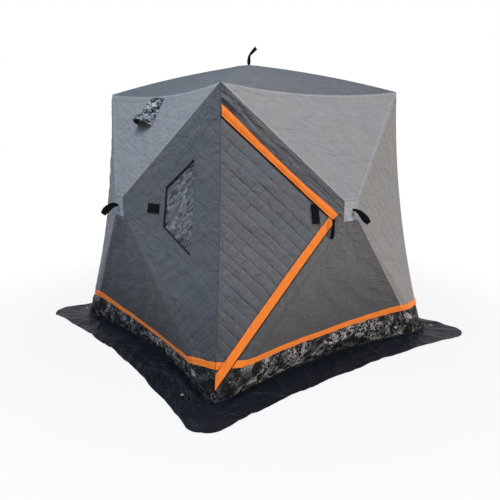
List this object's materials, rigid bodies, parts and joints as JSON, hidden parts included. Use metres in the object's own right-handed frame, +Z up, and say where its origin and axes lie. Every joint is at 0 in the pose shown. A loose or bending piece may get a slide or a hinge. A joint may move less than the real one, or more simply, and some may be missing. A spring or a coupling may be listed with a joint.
{
  "type": "pop-up ice fishing hut",
  "caption": "Square pop-up fabric ice fishing hut on sprung poles, with a zipped side door, film windows, hooded vents and a ground skirt.",
  "frame": {"origin": "on the ground under the middle of the hut", "axes": "+Z up; the door wall faces -Y; the windowed wall next to the door's hinge corner faces -X"},
  "size_m": [2.514, 2.514, 2.188],
  "materials": {
    "roof_fabric": "matte quilted",
    "pale_fabric": "matte quilted",
    "dark_fabric": "matte quilted",
    "lower_fabric": "matte plain weave",
    "camo_fabric": "matte printed in bark and moss greys",
    "orange_fabric": "matte webbing",
    "patch_fabric": "matte coated patch",
    "skirt_fabric": "matte coated",
    "black_webbing": "matte webbing",
    "window_film": "glossy crinkled film",
    "vent_mesh": "open mesh",
    "brass": "satin",
    "pole_fibreglass": "satin",
    "hub_plastic": "moulded"
  },
  "bodies": {
    "hut": {"back_base_band": "camo_fabric", "back_left_panel": "dark_fabric", "back_lower_panel": "lower_fabric", "back_right_panel": "pale_fabric", "back_skirt": "skirt_fabric", "back_top_panel": "pale_fabric", "door_surround_lower": "dark_fabric", "door_surround_upper": "dark_fabric", "door_tie_tab": "black_webbing", "front_base_band": "camo_fabric", "front_lower_panel": "lower_fabric", "front_right_panel": "pale_fabric", "front_skirt": "skirt_fabric", "front_top_panel": "pale_fabric", "hub_pull_straps": "black_webbing", "left_base_band": "camo_fabric", "left_left_panel": "pale_fabric", "left_lower_panel": "lower_fabric", "left_right_panel": "dark_fabric", "left_skirt": "skirt_fabric", "left_top_panel": "pale_fabric", "pole_boots": "hub_plastic", "pole_hubs": "hub_plastic", "right_base_band": "camo_fabric", "right_left_panel": "pale_fabric", "right_lower_panel": "lower_fabric", "right_right_panel": "dark_fabric", "right_skirt": "skirt_fabric", "right_top_panel": "pale_fabric", "roof_back_panel": "roof_fabric", "roof_front_panel": "roof_fabric", "roof_hub_patch": "roof_fabric", "roof_left_panel": "roof_fabric", "roof_poles": "pole_fibreglass", "roof_right_panel": "roof_fabric", "skirt_grommets": "brass", "trim_band": "orange_fabric", "upper_storm_flap": "orange_fabric", "vent_hoods": "camo_fabric", "vent_screens": "vent_mesh", "wall_hub_patches": "patch_fabric", "wall_poles": "pole_fibreglass", "window_bindings": "black_webbing", "window_panes": "window_film"},
    "door": {"door_flap": "dark_fabric", "door_zip_tape": "black_webbing", "door_lower_flap": "orange_fabric", "door_trim_band": "orange_fabric", "door_tab": "black_webbing", "zip_pull": "black_webbing"}
  },
  "joints": [
    {"name": "door_hinge", "type": "hinge", "parent": "hut", "child": "door", "pos_m": [-0.8876, -0.8876, 0.8725], "axis": [-0.1222, -0.1222, -0.985], "range_deg": [0, 220]}
  ]
}
